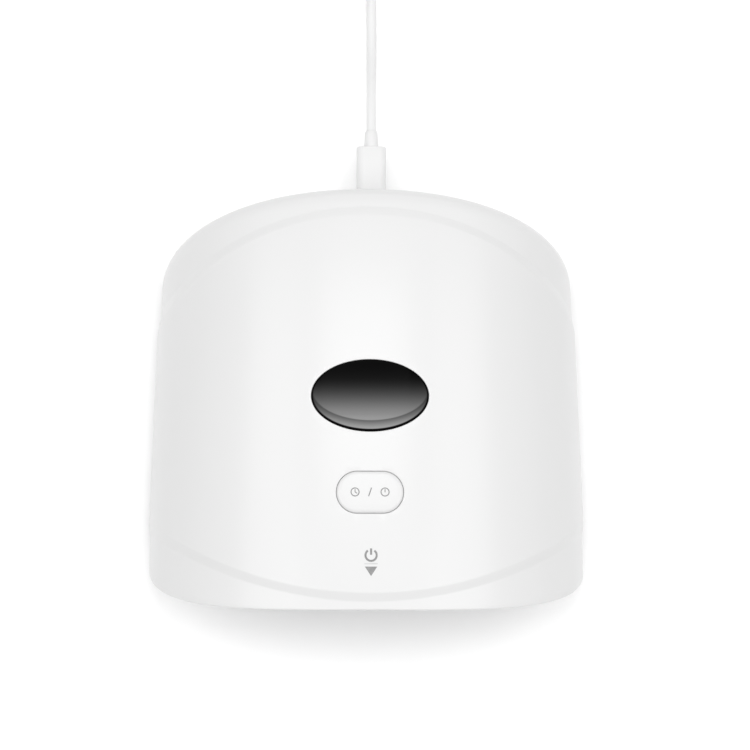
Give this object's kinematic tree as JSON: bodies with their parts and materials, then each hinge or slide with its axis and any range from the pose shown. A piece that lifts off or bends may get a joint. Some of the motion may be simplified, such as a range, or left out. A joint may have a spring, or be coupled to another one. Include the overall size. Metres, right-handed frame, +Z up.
{
  "type": "uv led nail lamp",
  "caption": "Arched white nail-curing hood with an oval smoked window, a sliding-press timer key, UV lamps round an open hand tunnel, rubber feet and a USB lead.",
  "frame": {"origin": "middle of the lamp's footprint on the surface it stands on, without its lead", "axes": "+X to the right, +Y from the hand opening to the socket at the rear, +Z up"},
  "size_m": [0.1612, 0.3114, 0.0641],
  "materials": {
    "white_gloss_plastic": "smooth satin-gloss white moulding",
    "white_satin_plastic": "fine-textured white moulding",
    "silver_reflector": "silvered reflector sheet",
    "smoked_lens": "polished smoked lens",
    "black_plastic": "moulded black",
    "green_board": "solder-resist green laminate",
    "white_board": "white laminate",
    "lamp_resin": "clear resin dome over a violet chip",
    "nickel_steel": "nickel plated",
    "capacitor_can": "bare can",
    "foot_rubber": "soft grey rubber",
    "wire_sleeve": "coloured wire insulation",
    "white_cord_vinyl": "soft white vinyl",
    "tie_strap": "black hook-and-loop strap"
  },
  "bodies": {
    "lamp": {"top_shell": "white_gloss_plastic", "front_bezel": "white_gloss_plastic", "reflector_liner": "silver_reflector", "base_frame": "white_satin_plastic", "display_lens": "smoked_lens", "display_module": "black_plastic", "control_board": "green_board", "switch_body": "black_plastic", "timer_chip": "black_plastic", "lamp_driver_chip": "black_plastic", "boost_inductor": "black_plastic", "filter_capacitor": "capacitor_can", "board_screw_left": "nickel_steel", "board_screw_right": "nickel_steel", "roof_led_board": "white_board", "left_led_board": "white_board", "right_led_board": "white_board", "roof_uv_led_1": "lamp_resin", "roof_uv_led_2": "lamp_resin", "roof_uv_led_3": "lamp_resin", "roof_uv_led_4": "lamp_resin", "roof_uv_led_5": "lamp_resin", "roof_uv_led_6": "lamp_resin", "left_uv_led_1": "lamp_resin", "left_uv_led_2": "lamp_resin", "left_uv_led_3": "lamp_resin", "right_uv_led_1": "lamp_resin", "right_uv_led_2": "lamp_resin", "right_uv_led_3": "lamp_resin", "sensor_board": "green_board", "infrared_emitter": "lamp_resin", "infrared_receiver": "black_plastic", "usb_socket": "nickel_steel", "usb_socket_tongue": "black_plastic", "usb_board": "green_board", "usb_board_support": "white_satin_plastic", "base_screw_front_left": "nickel_steel", "base_screw_front_right": "nickel_steel", "base_screw_back_left": "nickel_steel", "base_screw_back_right": "nickel_steel", "rubber_foot_front_left": "foot_rubber", "rubber_foot_front_right": "foot_rubber", "rubber_foot_back_left": "foot_rubber", "rubber_foot_back_right": "foot_rubber", "left_lamp_wire": "wire_sleeve", "right_lamp_wire": "wire_sleeve", "roof_lamp_wire": "wire_sleeve", "sensor_wire": "wire_sleeve", "power_wire": "wire_sleeve"},
    "timer_key": {"timer_key": "white_gloss_plastic", "switch_plunger": "black_plastic"},
    "usb_lead": {"plug_shell": "nickel_steel", "plug_overmold": "white_cord_vinyl", "strain_relief": "white_cord_vinyl", "cord_run": "white_cord_vinyl", "cord_coil": "white_cord_vinyl", "cord_tie": "tie_strap", "usb_a_overmold": "white_cord_vinyl", "usb_a_shell": "nickel_steel"}
  },
  "joints": [
    {"name": "timer_key_press", "type": "slide", "parent": "lamp", "child": "timer_key", "axis": [0, 0, -1], "range_m": [0, 0.0005], "stiffness_N_per_m": 2500, "springref_m": -0.0002},
    {"name": "usb_plug_pull", "type": "slide", "parent": "lamp", "child": "usb_lead", "axis": [0, 1, 0], "range_m": [0, 0.012]}
  ]
}
